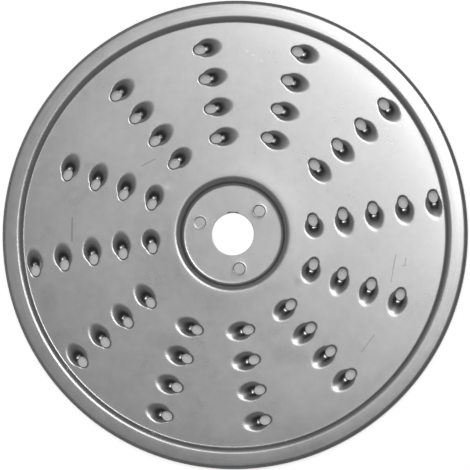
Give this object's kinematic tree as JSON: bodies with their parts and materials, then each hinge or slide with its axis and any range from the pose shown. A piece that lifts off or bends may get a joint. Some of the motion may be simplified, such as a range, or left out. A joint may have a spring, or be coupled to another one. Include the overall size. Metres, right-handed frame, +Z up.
{
  "type": "food processor grating disc",
  "caption": "Round stamped steel sheet disc with radial rows of punched grating teeth, a recessed hub with a spindle bore and a raised rim with a turned-down edge",
  "frame": {"origin": "on the bore axis at the underside of the hub, the plane that the disc lies on", "axes": "+Z up along the bore, out of the side that the teeth were punched from; +X lies 10 degrees clockwise of the first five-tooth row; +Y completes a right-handed frame"},
  "size_m": [0.185, 0.185, 0.0047],
  "materials": {
    "stainless_sheet": "satin rolled stainless sheet with faint clouding and a few hairline scratches"
  },
  "bodies": {
    "root": {"grating_disc": "stainless_sheet"}
  },
  "joints": []
}
